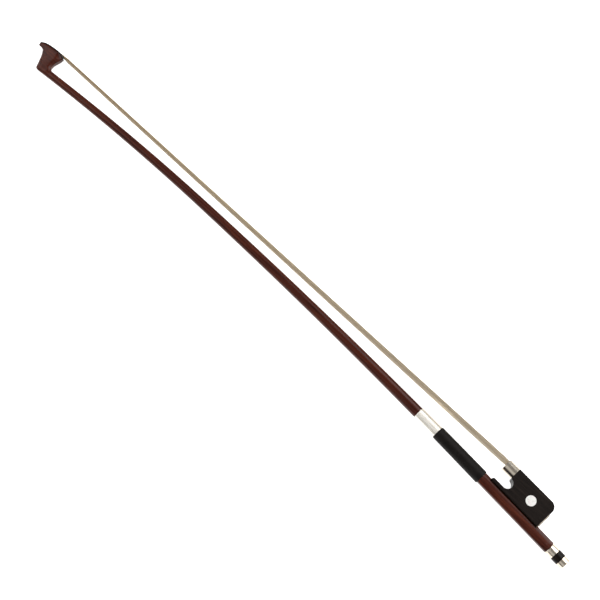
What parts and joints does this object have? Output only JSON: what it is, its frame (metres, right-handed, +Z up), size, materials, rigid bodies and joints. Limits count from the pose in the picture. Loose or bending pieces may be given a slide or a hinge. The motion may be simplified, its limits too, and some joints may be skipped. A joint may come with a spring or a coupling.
{
  "type": "double bass bow",
  "caption": "French-pattern double bass bow with a cambered stick, adjustable frog, leather grip and flat hair ribbon, lying on its side",
  "frame": {"origin": "centre of the bounding box on the flat side of the frog, which is the face the bow lies on", "axes": "+X runs along the hair from the tip to the button, +Y points from the stick to the hair, +Z is up, square to the plane of the bow"},
  "size_m": [0.7075, 0.0417, 0.0146],
  "materials": {
    "stick_wood": "red-brown brazilwood under clear gloss varnish",
    "ebony": "polished ebony",
    "tip_facing": "thin black facing, satin",
    "plug_wood": "plain pale wood",
    "binding_thread": "waxed thread over hair",
    "nickel_silver": "polished nickel silver",
    "grip_leather": "thin black leather, fine grain",
    "hair": "natural white horsehair",
    "pearl": "polished mother-of-pearl",
    "eyelet_brass": "turned brass",
    "screw_steel": "plain steel"
  },
  "bodies": {
    "stick": {"stick": "stick_wood", "tip_plate": "tip_facing", "tip_liner": "ebony", "tip_plug": "plug_wood", "tip_knot": "binding_thread", "winding": "nickel_silver", "leather_grip": "grip_leather", "hair_ribbon": "hair"},
    "frog": {"frog_block": "ebony", "underslide": "nickel_silver", "underslide_pins": "nickel_silver", "ferrule": "nickel_silver", "spread_wedge": "plug_wood", "slide_base": "ebony", "slide_pearl": "pearl", "heel_plate": "nickel_silver", "heel_plate_pins": "nickel_silver", "eye_near": "pearl", "eye_far": "pearl", "frog_plug": "plug_wood", "frog_knot": "binding_thread", "eyelet": "eyelet_brass"},
    "screw": {"adjusting_screw": "screw_steel", "button_core": "ebony", "button_front_ring": "nickel_silver", "button_rear_cap": "nickel_silver"}
  },
  "joints": [
    {"name": "frog_slide", "type": "slide", "parent": "stick", "child": "frog", "axis": [0.998, -0.0631, 0], "range_m": [-0.005, 0.006], "deforming": ["hair_ribbon"]},
    {"name": "screw_turn", "type": "hinge", "parent": "stick", "child": "screw", "pos_m": [0.33259, -0.01376, 0.0073], "axis": [-0.998, 0.0631, 0], "range_deg": [-1801, 2161]}
  ],
  "couplings": [
    {"joint": "screw_turn", "follows": "frog_slide", "rad_per_m": 6283.2}
  ]
}
